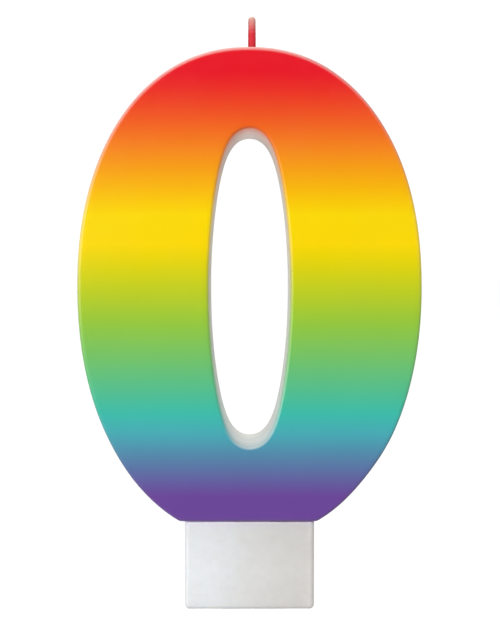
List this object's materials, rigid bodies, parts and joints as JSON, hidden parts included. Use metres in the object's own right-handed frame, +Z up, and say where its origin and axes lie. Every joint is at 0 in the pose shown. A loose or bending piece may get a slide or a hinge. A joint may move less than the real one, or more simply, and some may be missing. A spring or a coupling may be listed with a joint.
{
  "type": "number birthday candle",
  "caption": "Numeral 0 candle: a white wax ring with a rainbow wax face and a through hole, on a plain wax block that stands or pushes into a cake, with a wick that runs down one leg.",
  "frame": {"origin": "middle of the base block's underside, at the middle of the whole candle's width and depth", "axes": "+Z up along the wick, the coloured front faces -Y, +X to the right as seen from the front"},
  "size_m": [0.0816, 0.015, 0.1426],
  "materials": {
    "white_wax": "white paraffin wax, satin, slightly translucent",
    "rainbow_wax": "dyed wax, satin, red at the top through orange, yellow, green and blue to violet at the foot",
    "base_wax": "plain paraffin wax, satin, slightly mottled and translucent",
    "wick_cotton": "braided cotton, waxed",
    "wick_red_wax": "thin red wax coat"
  },
  "bodies": {
    "root": {"numeral_core": "white_wax", "rainbow_face": "rainbow_wax", "cake_base": "base_wax", "wick_braid": "wick_cotton", "wick_wax": "wick_red_wax"}
  },
  "joints": []
}
